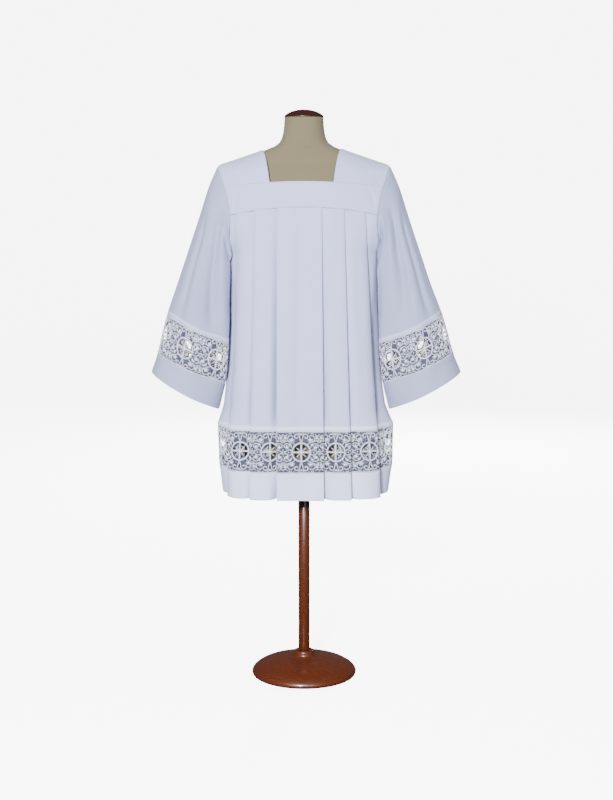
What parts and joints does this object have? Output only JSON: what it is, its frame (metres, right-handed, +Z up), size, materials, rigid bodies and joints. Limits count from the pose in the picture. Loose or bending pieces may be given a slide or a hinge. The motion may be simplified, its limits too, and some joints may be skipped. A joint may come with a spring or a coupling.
{
  "type": "surplice on dress form",
  "caption": "White pleated surplice with a square yoke, wide sleeves and lace insertions, worn by a limbless dress form on a round wooden stand.",
  "frame": {"origin": "middle of the stand's underside, on the floor", "axes": "+Z up along the pole; the garment's front faces -Y"},
  "size_m": [0.862, 0.36, 1.598],
  "materials": {
    "cloth": "matt white cotton blend",
    "lace": "matt white cotton lace",
    "linen": "matt natural linen",
    "wood": "dark gloss varnish"
  },
  "bodies": {
    "root": {"yoke_front": "cloth", "yoke_back": "cloth", "yoke_strap_left": "cloth", "yoke_strap_right": "cloth", "body_front": "cloth", "body_back": "cloth", "hem_front": "cloth", "hem_back": "cloth", "sleeve_left": "cloth", "sleeve_right": "cloth", "cuff_left": "cloth", "cuff_right": "cloth", "lace_front": "lace", "lace_back": "lace", "sleeve_lace_left_front": "lace", "sleeve_lace_left_back": "lace", "sleeve_lace_right_front": "lace", "sleeve_lace_right_back": "lace", "form_torso": "linen", "form_cap": "wood", "form_pole": "wood", "form_base": "wood"}
  },
  "joints": []
}
